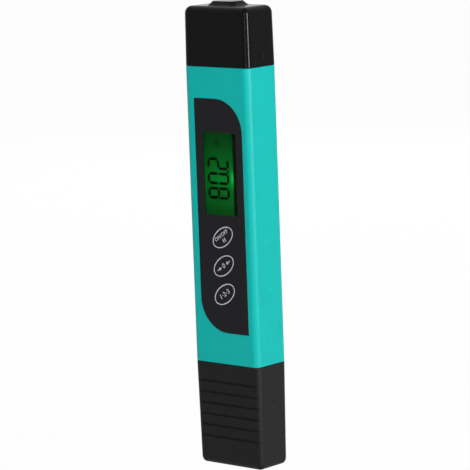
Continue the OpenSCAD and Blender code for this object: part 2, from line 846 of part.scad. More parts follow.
// Drafted cup with grip ribs across its front and back
module protective_cap() {
    rise = [for (k = [6:-1:0]) foot_cap_round * (1 - sin(15 * k))];
    sink = [for (k = [6:-1:0]) foot_cap_round * (1 - cos(15 * k))];
    insets = [for (k = [0:6]) foot_cap_draft * (1 - rise[k] / foot_cap_len) + sink[k]];
    color("#27272a")
    difference() {
        union() {
            loft(concat(rise, [foot_cap_len]), [for (inset = concat(insets, [0])) cap_outline(inset)]);
            for (k = [0:grip_count - 1])
                grip_rib(foot_cap_len - grip_drop - k * grip_pitch);
            pip_inset = foot_cap_draft * cap_pip_drop / foot_cap_len;
            for (side = [-1, 1])
                pip(side, body_w / 2 - pip_inset, foot_cap_len - cap_pip_drop);
        }
        column(socket_w, socket_d, neck_r + cap_fit, nose_z1 - socket_spare, foot_cap_len + cut);
        column(foot_hollow_w, foot_hollow_d, 1.5, foot_cap_floor, foot_cap_len);
    }
}

// Rib that fades out round the corners, because it is deeper than the cap but no wider
module grip_rib(z) {
    inset = foot_cap_draft * (1 - z / foot_cap_len);
    flank = grip_h * 0.3;
    w = body_w - 2 * inset - 0.2;
    d = body_d - 2 * inset;
    low = rounded_outline(w, d - 0.2, corner_r);
    high = rounded_outline(w, d + 2 * grip_proud, corner_r);
    rise = grip_h / 2;
    loft([z - rise, z - rise + flank, z + rise - flank, z + rise], [low, high, high, low]);
}

housing();
label_overlay();
window_lens();
key_power();
key_clear();
key_mode();
stem_power();
stem_clear();
stem_mode();
switch_bodies();
circuit_board();
chip_cover();
crystal();
board_parts();
display_frame();
frame_screws();
display_glass();
contact_rubber();
light_guide();
backlight_lamp();
battery_holder();
contact_front();
contact_rear();
cell_front();
cell_rear();
battery_cap();
probe_head();
electrode_left();
electrode_right();
sensor_sheath();
head_seal();
probe_leads();
protective_cap();
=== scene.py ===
import math

import bmesh
import bpy
from mathutils import Matrix, Vector


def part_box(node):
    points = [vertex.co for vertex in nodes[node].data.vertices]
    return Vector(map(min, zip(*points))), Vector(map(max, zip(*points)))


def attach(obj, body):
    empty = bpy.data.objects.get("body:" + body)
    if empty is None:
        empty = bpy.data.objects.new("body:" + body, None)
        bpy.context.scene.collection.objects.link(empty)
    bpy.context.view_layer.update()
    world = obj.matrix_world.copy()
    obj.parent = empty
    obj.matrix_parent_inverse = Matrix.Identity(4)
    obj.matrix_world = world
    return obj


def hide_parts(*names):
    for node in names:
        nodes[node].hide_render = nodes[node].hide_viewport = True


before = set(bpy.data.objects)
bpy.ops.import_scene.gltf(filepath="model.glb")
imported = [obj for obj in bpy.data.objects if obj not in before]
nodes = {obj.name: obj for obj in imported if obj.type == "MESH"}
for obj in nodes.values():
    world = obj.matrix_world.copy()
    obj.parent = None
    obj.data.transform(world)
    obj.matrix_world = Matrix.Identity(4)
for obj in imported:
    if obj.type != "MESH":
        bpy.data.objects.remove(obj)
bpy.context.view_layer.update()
mm = 0.001

# Camera: a long lens that looks at the pen from its front right, a little from above. Its turn,
# roll and distance are those at which the seams and edges lie as they do in the photograph.
camera_turn = math.radians(40.869)
camera_drop = math.radians(9.021)
camera_roll = math.radians(2.062)
camera_distance = 972.15 * mm
aim_right = -3.147 * mm
aim_up = 76.343 * mm
across = Vector((math.cos(camera_turn), math.sin(camera_turn), 0))
ahead = Vector((
    -math.sin(camera_turn) * math.cos(camera_drop),
    math.cos(camera_turn) * math.cos(camera_drop),
    -math.sin(camera_drop)))
upright = across.cross(ahead)
camera_right = across * math.cos(camera_roll) - upright * math.sin(camera_roll)
camera_up = across * math.sin(camera_roll) + upright * math.cos(camera_roll)
camera_place = camera_right * aim_right + camera_up * aim_up - ahead * camera_distance
camera_facing = Matrix((camera_right, camera_up, -ahead)).transposed()
camera_data = bpy.data.cameras.new("camera")
camera_data.lens = 221.38
camera_data.sensor_width = 36
camera_data.clip_start = 0.05
camera = bpy.data.objects.new("camera", camera_data)
camera.matrix_world = Matrix.Translation(camera_place) @ camera_facing.to_4x4()
bpy.context.scene.collection.objects.link(camera)
bpy.context.scene.camera = camera
bpy.context.scene.view_settings.view_transform = "Standard"


# Studio: a white surround that lights the pen softly, and a large softbox on its right, which makes
# the narrow side brighter than the front. Two slim strips only draw the gloss on the corners, and
# a weaker softbox lights the back.
surround_light = 0.30
pen_middle = Vector((0, 0, 78)) * mm


def add(tree, kind, inputs=None, **settings):
    """Adds a shader node; an input is a plain value or another node's output."""
    node = tree.nodes.new(kind)
    for name, value in settings.items():
        setattr(node, name, value)
    for name, value in (inputs or {}).items():
        if isinstance(value, bpy.types.NodeSocket):
            tree.links.new(value, node.inputs[name])
        else:
            node.inputs[name].default_value = value
    return node


def seen_share(tree):
    """1 where the background is looked at directly, in a reflection or through glass, else 0."""
    path = add(tree, "ShaderNodeLightPath")
    first = add(tree, "ShaderNodeMath", {
        0: path.outputs["Is Camera Ray"], 1: path.outputs["Is Glossy Ray"]})
    both = add(tree, "ShaderNodeMath", {
        0: first.outputs[0], 1: path.outputs["Is Transmission Ray"]}, use_clamp=True)
    return both.outputs[0]


def softbox(name, turn, lift, distance, width, height, power):
    """Lamp aimed at the pen's middle; turn runs from the front (0) to its right side (90)."""
    turn, lift = math.radians(turn), math.radians(lift)
    toward = Vector((
        math.sin(turn) * math.cos(lift), -math.cos(turn) * math.cos(lift), math.sin(lift)))
    data = bpy.data.lights.new(name, "AREA")
    data.shape = "RECTANGLE"
    data.size = width
    data.size_y = height
    data.energy = power
    lamp = bpy.data.objects.new(name, data)
    facing = toward.to_track_quat("Z", "Y").to_matrix().to_4x4()
    lamp.matrix_world = Matrix.Translation(pen_middle + toward * distance) @ facing
    bpy.context.scene.collection.objects.link(lamp)
    return lamp


world = bpy.data.worlds.new("studio")
world.use_nodes = True
tree = world.node_tree
tree.nodes.clear()
lit = add(tree, "ShaderNodeBackground", {"Color": (1, 1, 1, 1), "Strength": surround_light})
white = add(tree, "ShaderNodeBackground", {"Color": (1, 1, 1, 1), "Strength": 1.0})
mix = add(tree, "ShaderNodeMixShader", {0: seen_share(tree), 1: lit.outputs[0], 2: white.outputs[0]})
add(tree, "ShaderNodeOutputWorld", {"Surface": mix.outputs[0]})
bpy.context.scene.world = world

large_boxes = [
    softbox("key_softbox", turn=64, lift=22, distance=1.1, width=0.5, height=0.7, power=10.0),
    softbox("back_softbox", turn=215, lift=22, distance=1.1, width=0.5, height=0.7, power=5.0)]
for large_box in large_boxes:
    large_box.visible_glossy = False
strips = [
    softbox("side_strip", turn=86, lift=8, distance=1.2, width=0.18, height=1.0, power=40.0),
    softbox("front_strip", turn=34, lift=8, distance=1.2, width=0.06, height=1.0, power=4.0)]
for strip in strips:
    strip.visible_diffuse = False


# Floor: a wide sheet of plain pale paper, far enough under the pen for its cap to be pulled off
# downward. Seen directly it is almost as white as the surround, and it keeps the pen's shadow.
floor_reach = 3.0
floor_z = -33 * mm
floor_white = 0.97
paper_white = 0.82
floor_mesh = bpy.data.meshes.new("floor")
floor_mesh.from_pydata(
    [(x * floor_reach, y * floor_reach, floor_z) for x, y in ((-1, -1), (1, -1), (1, 1), (-1, 1))],
    [], [(0, 1, 2, 3)])
floor = bpy.data.objects.new("floor", floor_mesh)
bpy.context.scene.collection.objects.link(floor)
floor_material = bpy.data.materials.new("floor_paper")
floor_material.use_nodes = True
tree = floor_material.node_tree
tree.nodes.clear()
paper = add(tree, "ShaderNodeBsdfDiffuse", {"Color": (paper_white, paper_white, paper_white, 1)})
glow = add(tree, "ShaderNodeEmission", {"Color": (1, 1, 1, 1), "Strength": 1.0})
share = add(tree, "ShaderNodeMath", {0: seen_share(tree), 1: floor_white}, operation="MULTIPLY")
mix = add(tree, "ShaderNodeMixShader", {0: share.outputs[0], 1: paper.outputs[0], 2: glow.outputs[0]})
add(tree, "ShaderNodeOutputMaterial", {"Surface": mix.outputs[0]})
floor_mesh.materials.append(floor_material)


# Housing: one-piece tube of satin coloured plastic, injection moulded, with a shallow recess for
# the label, the window and key openings, ribs inside that hold the board, and pips down each side.
def frame_box(node):
    """A node's lowest and highest corner, in millimetres."""
    return [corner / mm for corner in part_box(node)]


housing_low, housing_high = frame_box("housing")
film_low, film_high = frame_box("label_overlay")
lens_low, lens_high = frame_box("window_lens")
board_low, board_high = frame_box("circuit_board")
pip_d, pip_h, pip_pitch, pip_count = 1.1, 0.2, 16.2, 6
tube_w = housing_high.x - housing_low.x - 2 * pip_h
tube_d = housing_high.y - housing_low.y
tube_z0, tube_z1 = housing_low.z, housing_high.z
tube_corner_r, least_corner_r = 2.3, 0.5
tube_wall = 1.8
tube_edge_r = 0.22
bore_corner_r = 0.5
guide_t, guide_h, guide_gap = 0.8, 1.05, 0.05
front_y = housing_low.y
inner_y = front_y + tube_wall
recess_y = lens_low.y
recess_rim = 0.12
label_round = 11.3
# How far the label reaches past the solid's, as the photograph shows it
label_left, label_right, label_top = 0.3, 0.2, 0.2
label_gap = 0.1
lens_lap, lens_gap, lens_corner_r = 1.6, 0.1, 0.9
lens_back_y = lens_high.y
# How far the opening under the lens reaches past the window, at its front and its back
opening_front, opening_back, opening_corner_r = 1.1, 1.7, 0.5
key_names = ("mode", "clear", "power")
key_boxes = [frame_box(f"key_{name}") for name in key_names]
key_x = (key_boxes[0][0].x + key_boxes[0][1].x) / 2
key_z = [(low.z + high.z) / 2 for low, high in key_boxes]
key_long, key_short = 10.1, 6.2
key_tilt = math.radians(34.2)
key_gap = 0.1
# How far a cutter runs past what it cuts: well clear of a face, or only just through it
overshoot, hair = 1.0, 0.01
# An edge that turns by more than this is a corner, to be softened and to be shaded as one
corner_turn = math.radians(32)
teal = (0.004, 0.475, 0.437)


def arc(cx, cy, r, start, end, steps):
    """Points of an arc, from one angle in degrees to another."""
    angles = [math.radians(start + (end - start) * k / steps) for k in range(steps + 1)]
    return [(cx + r * math.cos(a), cy + r * math.sin(a)) for a in angles]


def circle(cx, cy, r, count):
    """Points of a whole circle."""
    return arc(cx, cy, r, 0, 360 - 360 / count, count - 1)


def rounded(w, d, r, steps=10):
    """Outline of a rounded rectangle about the origin, anticlockwise."""
    x, y = w / 2 - r, d / 2 - r
    return (arc(x, y, r, 0, 90, steps) + arc(-x, y, r, 90, 180, steps)
            + arc(-x, -y, r, 180, 270, steps) + arc(x, -y, r, 270, 360, steps))


def level(points, z):
    """An outline laid at a height."""
    return [(x, y, z) for x, y in points]


def body_ring(inset, z):
    """Ring round the pen's body where its sides have come in by a given amount."""
    corner_r = max(least_corner_r, tube_corner_r - inset)
    return level(rounded(tube_w - 2 * inset, tube_d - 2 * inset, corner_r), z)


def label_outline(grow):
    """The label's outline seen from the front: sharp upper left and lower right corners."""
    x0, x1 = film_low.x - label_left - grow, film_high.x + label_right + grow
    z0, z1 = film_low.z - grow, film_high.z + label_top + grow
    r = label_round + grow
    return ([(x1, z0)] + arc(x1 - r, z1 - r, r, 0, 90, 32)
            + [(x0, z1)] + arc(x0 + r, z0 + r, r, 180, 270, 32))


def window_outline(grow, r, left=0.0, right=0.0, top=0.0):
    """The window's outline, grown all round and at single edges; the lens laps past it all round."""
    x0, x1 = lens_low.x + lens_lap - grow - left, lens_high.x - lens_lap + grow + right
    z0, z1 = lens_low.z + lens_lap - grow, lens_high.z - lens_lap + grow + top
    return [((x0 + x1) / 2 + x, (z0 + z1) / 2 + z) for x, z in rounded(x1 - x0, z1 - z0, r, 4)]


def turned(points, z):
    """Points drawn level about a key's middle, turned to its tilt and moved to its height."""
    return [(key_x + u * math.cos(key_tilt) - v * math.sin(key_tilt),
             z + u * math.sin(key_tilt) + v * math.cos(key_tilt)) for u, v in points]


def oval(z, grow):
    """A key's tilted oval, grown all round."""
    steps = 64
    angles = [math.tau * k / steps for k in range(steps)]
    return turned([
        ((key_long / 2 + grow) * math.cos(a), (key_short / 2 + grow) * math.sin(a)) for a in angles], z)


def new_piece(name, points, faces):
    """A mesh object from points in millimetres; it stays in millimetres until settle()."""
    mesh = bpy.data.meshes.new(name)
    mesh.from_pydata(points, [], faces)
    piece = bpy.data.objects.new(name, mesh)
    bpy.context.scene.collection.objects.link(piece)
    return piece


def skin(name, rings, tube=False):
    """Skin over rings of points; a tube's last ring joins its first, else both ends are closed."""
    count = len(rings[0])
    total = len(rings)
    faces = [
        (k * count + i, k * count + (i + 1) % count,
         (k + 1) % total * count + (i + 1) % count, (k + 1) % total * count + i)
        for k in range(total if tube else total - 1) for i in range(count)]
    if not tube:
        faces.append(tuple(reversed(range(count))))
        faces.append(tuple(range((total - 1) * count, total * count)))
    return new_piece(name, [p for ring in rings for p in ring], faces)


def upright_skin(name, stations):
    """Skin over outlines seen from the front, each given with its depth, from the back forward."""
    return skin(name, [[(x, y, z) for x, z in points] for y, points in stations])


def upright_slab(name, points, y0, y1):
    """Slab from an outline seen from the front, between two depths."""
    return upright_skin(name, [(y1, points), (y0, points)])


def bake(piece):
    """Turns a piece's modifiers into plain mesh."""
    mesh = bpy.data.meshes.new_from_object(piece.evaluated_get(bpy.context.evaluated_depsgraph_get()))
    piece.modifiers.clear()
    piece.data = mesh


def carve(piece, cutters):
    """Cuts the cutters' shapes out of a piece and throws the cutters away."""
    for cutter in cutters:
        cut = piece.modifiers.new("cut", "BOOLEAN")
        cut.object = cutter
        cut.solver = "EXACT"
    bake(piece)
    for cutter in cutters:
        bpy.data.objects.remove(cutter)


def soften(piece, edge):
    """Rounds every corner of a piece."""
    bevel = piece.modifiers.new("edges", "BEVEL")
    bevel.width = edge
    bevel.segments = 2
    bevel.limit_method = "ANGLE"
    bevel.angle_limit = corner_turn
    bake(piece)


def join(piece, others):
    """Adds other pieces' meshes to a piece."""
    count = len(piece.data.vertices)
    points = [v.co.copy() for v in piece.data.vertices]
    faces = [tuple(p.vertices) for p in piece.data.polygons]
    for other in others:
        points += [v.co.copy() for v in other.data.vertices]
        faces += [tuple(i + count for i in p.vertices) for p in other.data.polygons]
        count = len(points)
        bpy.data.objects.remove(other)
    mesh = bpy.data.meshes.new(piece.name)
    mesh.from_pydata(points, [], faces)
    piece.data = mesh


def settle(piece, material):
    """Turns a piece's faces outward, smooths its shading, scales it to metres and gives it its finish."""
    shape = bmesh.new()
    shape.from_mesh(piece.data)
    bmesh.ops.recalc_face_normals(shape, faces=shape.faces)
    for face in shape.faces:
        face.smooth = True
    shape.to_mesh(piece.data)
    shape.free()
    piece.data.set_sharp_from_angle(angle=corner_turn)
    weighted = piece.modifiers.new("shading", "WEIGHTED_NORMAL")
    weighted.keep_sharp = True
    bake(piece)
    piece.data.transform(Matrix.Scale(mm, 4))
    piece.data.materials.clear()
    piece.data.materials.append(material)


def dome(side, wall_x, y, z, half_w, half_h, proud):
    """Low dome on a narrow side, as rings that shrink from one under the wall; side is -1 or 1."""
    rings = [
        [(side * (wall_x + proud * (1 - t * t)), y + half_w * t * c, z + half_h * t * s * side)
         for c, s in circle(0, 0, 1, 24)]
        for t in (1.25, 0.95, 0.7, 0.45, 0.2, 0.02)]
    return skin("dome", rings)


def guide_rib(side, y):
    """Rib along a side wall inside the tube; the board slides between two of them."""
    wall_x = tube_w / 2 - tube_wall
    x0, x1 = side * (wall_x + guide_gap), side * (wall_x - guide_h)
    outline = [(x0, y), (x1, y), (x1, y + guide_t), (x0, y + guide_t)]
    return skin("guide rib", [level(outline, tube_z0), level(outline, tube_z1)])


def blend_colour(tree, share, first, second):
    """Mix of two colours; each is a colour or another node's output."""
    node = add(tree, "ShaderNodeMix", data_type="RGBA")
    for socket, value in ((node.inputs[0], share), (node.inputs[6], first), (node.inputs[7], second)):
        if isinstance(value, bpy.types.NodeSocket):
            tree.links.new(value, socket)
        else:
            socket.default_value = value
    return node.outputs[2]


def tint(colour, factor):
    """A colour made darker or lighter, with full opacity."""
    return (*[min(1, c * factor) for c in colour], 1)


def moulded(name, colour, rough, shine, grain, grain_depth, cloud=0.04):
    """Moulded plastic: tool grain, in millimetres, clouds in its colour and an uneven gloss."""
    gloss_swing = 0.05
    material = bpy.data.materials.new(name)
    material.use_nodes = True
    tree = material.node_tree
    place = add(tree, "ShaderNodeTexCoord").outputs["Object"]
    clouds = add(tree, "ShaderNodeTexNoise", {"Vector": place, "Scale": 130.0, "Detail": 3.0})
    shader = tree.nodes["Principled BSDF"]
    tone = blend_colour(tree, clouds.outputs["Fac"], tint(colour, 1 - cloud), tint(colour, 1 + cloud))
    tree.links.new(tone, shader.inputs["Base Color"])
    gloss = add(tree, "ShaderNodeMapRange", {
        "Value": clouds.outputs["Fac"], "To Min": rough - gloss_swing, "To Max": rough + gloss_swing})
    tree.links.new(gloss.outputs[0], shader.inputs["Roughness"])
    pits = add(tree, "ShaderNodeTexNoise", {"Vector": place, "Scale": 1 / (grain * mm), "Detail": 4.0})
    bump = add(tree, "ShaderNodeBump", {
        "Height": pits.outputs["Fac"], "Strength": 0.6, "Distance": grain_depth * mm})
    tree.links.new(bump.outputs[0], shader.inputs["Normal"])
    shader.inputs["Specular IOR Level"].default_value = shine
    return material


edge_steps = [
    (tube_edge_r * (1 - math.cos(math.radians(a))), tube_edge_r * (1 - math.sin(math.radians(a))))
    for a in (90, 60, 30, 0)]
lower_rings = [body_ring(back, tube_z0 + up) for back, up in edge_steps]
upper_rings = [body_ring(back, tube_z1 - up) for back, up in reversed(edge_steps)]
bore = rounded(tube_w - 2 * tube_wall, tube_d - 2 * tube_wall, bore_corner_r)
bore_rings = [level(bore, tube_z1), level(bore, tube_z0)]
housing = skin("housing_tube", lower_rings + upper_rings + bore_rings, tube=True)
pocket = window_outline(lens_lap + lens_gap, lens_corner_r + lens_gap)
carve(housing, [
    upright_slab("recess", label_outline(label_gap), front_y - overshoot, recess_y),
    upright_slab("lens pocket", pocket, front_y - overshoot, lens_back_y),
    upright_skin("lens opening", [
        (inner_y + hair, window_outline(opening_back, opening_corner_r)),
        (lens_back_y - hair, window_outline(opening_front, opening_corner_r))]),
    *[upright_slab("key opening", oval(z, key_gap), front_y - overshoot, inner_y + overshoot)
      for z in key_z],
])
soften(housing, recess_rim)
tube_middle = (tube_z0 + tube_z1) / 2
pip_heights = [tube_middle + (k - (pip_count - 1) / 2) * pip_pitch for k in range(pip_count)]
pips = [
    dome(side, tube_w / 2, 0, z, pip_d / 2, pip_d / 2, pip_h) for side in (-1, 1) for z in pip_heights]
guides = [
    guide_rib(side, y) for side in (-1, 1)
    for y in (board_low.y - guide_gap - guide_t, board_high.y + guide_gap)]
join(housing, pips + guides)
settle(housing, moulded(
    "housing_plastic", teal, rough=0.4, shine=0.11, grain=0.5, grain_depth=0.004))
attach(housing, "meter")
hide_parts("housing")


# Label: a near-black printed film, about 0.3 mm thick, stuck in the recess of the tube, with one
# open window over the display and three oval openings through which the keys show.
film_black = (0.0078, 0.0078, 0.0098)
film_edge = 0.04
film_window_r = 0.3
# The window as the photograph shows it, a little wider and lower than the solid's
film_window = window_outline(0, film_window_r, left=0.35, right=0.5, top=-0.2)


def stand_up(name, curve, y):
    """Turns a flat curve into a mesh that stands at a depth and faces the front."""
    flat = bpy.data.objects.new(name, curve)
    bpy.context.scene.collection.objects.link(flat)
    mesh = bpy.data.meshes.new_from_object(flat.evaluated_get(bpy.context.evaluated_depsgraph_get()))
    bpy.data.objects.remove(flat)
    mesh.transform(Matrix.Translation((0, y, 0)) @ Matrix.Rotation(math.radians(90), 4, "X"))
    piece = bpy.data.objects.new(name, mesh)
    bpy.context.scene.collection.objects.link(piece)
    weld = piece.modifiers.new("weld", "WELD")
    weld.merge_threshold = 0.001
    bake(piece)
    return piece


def plate(name, outlines, y0, y1, edge):
    """Flat piece with soft rims, from outlines seen from the front; one inside another is a hole."""
    curve = bpy.data.curves.new(name, "CURVE")
    curve.dimensions = "2D"
    curve.fill_mode = "BOTH"
    curve.extrude = (y1 - y0) / 2 - edge
    curve.bevel_depth = edge
    curve.bevel_resolution = 1
    curve.offset = -edge
    for points in outlines:
        spline = curve.splines.new("POLY")
        spline.points.add(len(points) - 1)
        for spot, (x, z) in zip(spline.points, points):
            spot.co = (x, z, 0, 1)
        spline.use_cyclic_u = True
    return stand_up(name, curve, (y0 + y1) / 2)


label = plate(
    "label_film_piece",
    [label_outline(0), film_window[::-1]] + [oval(z, key_gap)[::-1] for z in key_z],
    film_low.y, film_high.y, film_edge)
settle(label, moulded(
    "label_film", film_black, rough=0.42, shine=0.1, grain=0.35, grain_depth=0.003, cloud=0.05))
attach(label, "meter")
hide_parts("label_overlay")


# Window lens: a clear acrylic plate with polished faces and soft edges, bonded under the film on
# the ledge of its pocket in the tube. Its index is set low, so that it throws no veil of
# reflections over the figures.
lens_edge = 0.05
lens_tint = (0.98, 1.0, 0.985, 1)


def clear_plastic(name, colour, rough, ior, shine):
    """Clear plastic with faint flow lines in its gloss."""
    material = bpy.data.materials.new(name)
    material.use_nodes = True
    tree = material.node_tree
    shader = tree.nodes["Principled BSDF"]
    place = add(tree, "ShaderNodeTexCoord").outputs["Object"]
    flow = add(tree, "ShaderNodeTexNoise", {"Vector": place, "Scale": 90.0, "Detail": 2.0})
    gloss = add(tree, "ShaderNodeMapRange", {
        "Value": flow.outputs["Fac"], "To Min": rough, "To Max": rough + 0.02})
    tree.links.new(gloss.outputs[0], shader.inputs["Roughness"])
    shader.inputs["Base Color"].default_value = colour
    shader.inputs["Transmission Weight"].default_value = 1.0
    shader.inputs["IOR"].default_value = ior
    shader.inputs["Specular IOR Level"].default_value = shine
    return material


lens = plate(
    "window_lens_piece", [window_outline(lens_lap, lens_corner_r)], lens_low.y, lens_high.y, lens_edge)
settle(lens, clear_plastic("clear_lens", lens_tint, rough=0.0, ior=1.07, shine=0.2))
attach(lens, "meter")
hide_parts("window_lens")


# Display: two sheets of glass with a green-lit polariser behind seven-segment figures, lit from
# its right edge by one lamp through a clear plate, and clamped to the board by a black frame.
glass_low, glass_high = frame_box("display_glass")
lamp_low, lamp_high = frame_box("backlight_lamp")
lamp_z = (lamp_low.z + lamp_high.z) / 2
# The lamp's bright spot and the wide pool of its light: the middle of each and how far it reaches
hot_spot = Vector((glass_high.x - 1.3, glass_low.y, lamp_z - 0.4)) * mm
hot_reach = Vector((2.4, 30, 4.6)) * mm
pool_middle = Vector((glass_high.x - 5.3, glass_low.y, lamp_z - 1.0)) * mm
pool_reach = Vector((30, 30, 17.5)) * mm
# Colours of the glow painted onto the glass: faint far from the lamp, in its pool, at its bright spot, and
# the glass's own colour unlit
faint_glow_green = (0.0002, 0.030, 0.0022, 1)
pool_green = (0.0004, 0.158, 0.0115, 1)
hot_green = (0.001, 0.75, 0.09, 1)
unlit_green = (0.001, 0.006, 0.002, 1)
figure_h, figure_w, figure_pitch = 9.45, 4.2, 4.9
figure_top_x = glass_low.x + 2.4
figure_z0 = glass_low.z + 6.55
stroke_h, stroke_w = 1.1, 1.05
stroke_gap = 0.14
point_r = 0.5
degree_r, degree_bore_r = 0.75, 0.2
ink_y0, ink_y1 = glass_low.y - 0.03, glass_low.y - 0.01
figure_ink = (0.0004, 0.003, 0.0006)


def light_pool(tree, place, middle, reach):
    """Brightness that falls from 1 at a point to 0 at an ellipsoid's skin."""
    spread = add(tree, "ShaderNodeMapping", {
        "Vector": place, "Location": middle, "Scale": reach}, vector_type="TEXTURE")
    pool = add(tree, "ShaderNodeTexGradient", {
        "Vector": spread.outputs[0]}, gradient_type="QUADRATIC_SPHERE")
    return pool.outputs["Fac"]


def dress(node, material):
    """Gives a carried-over CAD node its finish."""
    nodes[node].data.materials.clear()
    nodes[node].data.materials.append(material)


# The lamp's light is painted onto the glass as a glow. It is brightest at the spot beside the lamp and fades
# through its pool to a faint green.
lit_glass = bpy.data.materials.new("display_glass")
lit_glass.use_nodes = True
tree = lit_glass.node_tree
shader = tree.nodes["Principled BSDF"]
place = add(tree, "ShaderNodeTexCoord").outputs["Object"]
lit_green = blend_colour(
    tree, light_pool(tree, place, pool_middle, pool_reach), faint_glow_green, pool_green)
lit_green = blend_colour(tree, light_pool(tree, place, hot_spot, hot_reach), lit_green, hot_green)
tree.links.new(lit_green, shader.inputs["Emission Color"])
shader.inputs["Emission Strength"].default_value = 1.0
shader.inputs["Base Color"].default_value = unlit_green
shader.inputs["Specular IOR Level"].default_value = 0.0
streaks = add(tree, "ShaderNodeTexNoise", {"Vector": place, "Scale": 300.0})
gloss = add(tree, "ShaderNodeMapRange", {"Value": streaks.outputs["Fac"], "To Min": 0.12, "To Max": 0.2})
tree.links.new(gloss.outputs[0], shader.inputs["Roughness"])
dress("display_glass", lit_glass)

# The seven bars of a figure by their usual letters, each from one end to the other as (along, up)
segments = {
    "a": ((0, 1), (1, 1)), "b": ((1, 1), (1, 0.5)), "c": ((1, 0.5), (1, 0)), "d": ((0, 0), (1, 0)),
    "e": ((0, 0), (0, 0.5)), "f": ((0, 0.5), (0, 1)), "g": ((0, 0.5), (1, 0.5))}
# The reading 80.2, figure by figure; the point is added after them
figures = ("abcdefg", "abcdef", "abged")


def segment(ends, z_left):
    """Outline of one bar of a figure that reads up the pen, pointed at both ends."""
    spots = [
        Vector((figure_top_x + stroke_h / 2 + (1 - up) * (figure_h - stroke_h),
                z_left + stroke_w / 2 + along * (figure_w - stroke_w)))
        for along, up in ends]
    run = (spots[1] - spots[0]).normalized()
    thick = stroke_w if abs(run.x) > abs(run.y) else stroke_h
    wide = Vector((-run.y, run.x)) * thick / 2
    start, end = spots[0] + run * stroke_gap, spots[1] - run * stroke_gap
    tip = run * thick / 2
    return [start, start + tip + wide, end - tip + wide, end, end - tip - wide, start + tip - wide]


strokes = [
    segment(segments[name], figure_z0 + place_number * figure_pitch)
    for place_number, lit_segments in enumerate(figures) for name in lit_segments]
point_x = figure_top_x + figure_h - point_r
point_z = figure_z0 + 2 * figure_pitch - (figure_pitch - figure_w) / 2
strokes.append(circle(point_x, point_z, point_r, 12))
degree_x, degree_z = glass_low.x + 6.7, glass_high.z - 6.5
digits = upright_slab("display_digits", strokes[0], ink_y0, ink_y1)
other_strokes = [upright_slab("stroke", points, ink_y0, ink_y1) for points in strokes[1:]]
degree_corners = (
    (degree_r, ink_y0), (degree_r, ink_y1), (degree_bore_r, ink_y1), (degree_bore_r, ink_y0))
degree_ring = skin("degree", [
    [(x, y, z) for x, z in circle(degree_x, degree_z, r, 18)] for r, y in degree_corners], tube=True)
join(digits, other_strokes + [degree_ring])
settle(digits, moulded(
    "display_figures", figure_ink, rough=0.5, shine=0.0, grain=0.2, grain_depth=0.001))
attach(digits, "meter")

dress("display_frame", moulded(
    "frame_plastic", (0.0006, 0.006, 0.001), rough=0.6, shine=0.02, grain=0.3, grain_depth=0.004))
dress("light_guide", clear_plastic(
    "light_guide", (0.75, 0.95, 0.78, 1), rough=0.25, ior=1.45, shine=0.5))
dress("contact_rubber", moulded(
    "contact_rubber", (0.6, 0.2, 0.28), rough=0.7, shine=0.2, grain=0.2, grain_depth=0.004))
dress("backlight_lamp", moulded(
    "lamp_resin", (0.7, 0.95, 0.6), rough=0.25, shine=0.4, grain=0.4, grain_depth=0.002))


# Keys: oval plates moulded in plastic as dark as the film, each with a legend printed on it in grey
# and a pale grey ring drawn just inside its edge. A flange holds each one behind the wall of the tube,
# and a boss on its back presses the stem of its switch.
key_face_y = key_boxes[0][0].y
key_tip_y = key_boxes[0][1].y
key_flange_gap, key_flange, key_flange_t = 0.02, 0.45, 0.6
key_flange_y = inner_y + key_flange_gap
key_boss_r = 1.6
key_edge = 0.05
ring_inset, ring_w = 0.13, 0.3
ink_t = 0.015
key_finish = moulded(
    "key_plastic", film_black, rough=0.42, shine=0.1, grain=0.35, grain_depth=0.003, cloud=0.05)
# The grey of the ring drawn just inside each key's edge, and the grey of the printed legends
ring_grey, legend_ink = [
    moulded(name, grey, rough=0.55, shine=0.2, grain=0.15, grain_depth=0.002, cloud=0.06)
    for name, grey in (("ring_grey", (0.66, 0.665, 0.69)), ("legend_ink", (0.56, 0.56, 0.58)))]


def bars(middles, w, h, v):
    """Outlines of upright bars side by side, at one height."""
    return [
        [(u - w / 2, v - h / 2), (u + w / 2, v - h / 2), (u + w / 2, v + h / 2), (u - w / 2, v + h / 2)]
        for u in middles]


def arrow(u0, u1, w, head):
    """Outline of a level arrow from u0 to its tip at u1, with a head as long as given."""
    way = 1 if u1 > u0 else -1
    neck = u1 - way * head
    half_head = head * 0.62
    points = [
        (u0, -w / 2), (neck, -w / 2), (neck, -half_head), (u1, 0),
        (neck, half_head), (neck, w / 2), (u0, w / 2)]
    return points if way > 0 else points[::-1]


def lettering(name, words, size, u, v, z):
    """Printed words about a key's middle, on its face."""
    text = bpy.data.curves.new(name, "FONT")
    text.body = words
    text.size = size
    text.align_x = "CENTER"
    text.align_y = "CENTER"
    text.extrude = ink_t / 2
    text.space_character = 1.06
    text.offset = 0.02
    piece = stand_up(name, text, key_face_y - ink_t / 2)
    x, height = turned([(u, v)], z)[0]
    piece.data.transform(Matrix.Translation((x, 0, height)) @ Matrix.Rotation(-key_tilt, 4, "Y"))
    return piece


